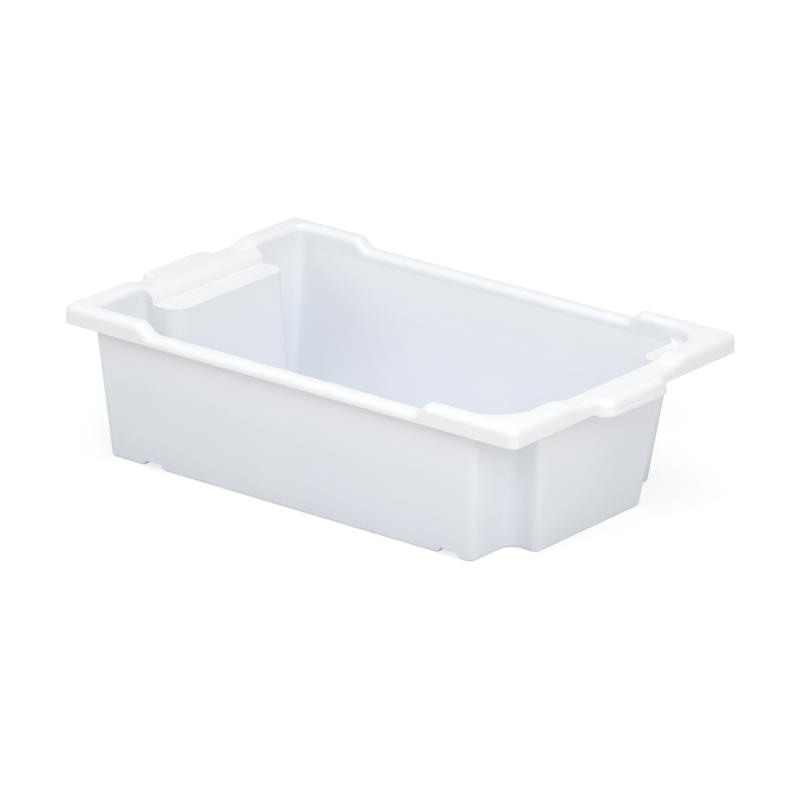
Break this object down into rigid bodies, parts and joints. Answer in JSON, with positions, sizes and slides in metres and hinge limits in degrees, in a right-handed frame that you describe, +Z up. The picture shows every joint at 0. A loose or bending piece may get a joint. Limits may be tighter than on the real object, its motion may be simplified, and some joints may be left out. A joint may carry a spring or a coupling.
{
  "type": "storage box",
  "caption": "Shallow moulded storage box with a turned-down rim, raised corner ears, end grips, a recessed end, a bulged end and inner ledges that carry another box.",
  "frame": {"origin": "middle of the box at the level of its underside", "axes": "+X along the length towards the bulged end, +Y across towards the rear, +Z up"},
  "size_m": [0.641, 0.4, 0.178],
  "materials": {
    "white_polymer": "satin"
  },
  "bodies": {
    "root": {"floor_panel": "white_polymer", "left_floor_channel": "white_polymer", "right_floor_channel": "white_polymer", "left_front_foot": "white_polymer", "left_rear_foot": "white_polymer", "bulge_foot": "white_polymer", "front_wall": "white_polymer", "rear_wall": "white_polymer", "left_front_column": "white_polymer", "left_rear_column": "white_polymer", "left_recess_wall": "white_polymer", "bulge_wall": "white_polymer", "right_front_column": "white_polymer", "right_rear_column": "white_polymer", "left_guide": "white_polymer", "left_ledge": "white_polymer", "right_front_ledge": "white_polymer", "right_rear_ledge": "white_polymer", "front_rim": "white_polymer", "rear_rim": "white_polymer", "left_front_ear": "white_polymer", "left_rear_ear": "white_polymer", "right_front_ear": "white_polymer", "right_rear_ear": "white_polymer", "left_grip": "white_polymer", "right_grip": "white_polymer"}
  },
  "joints": []
}
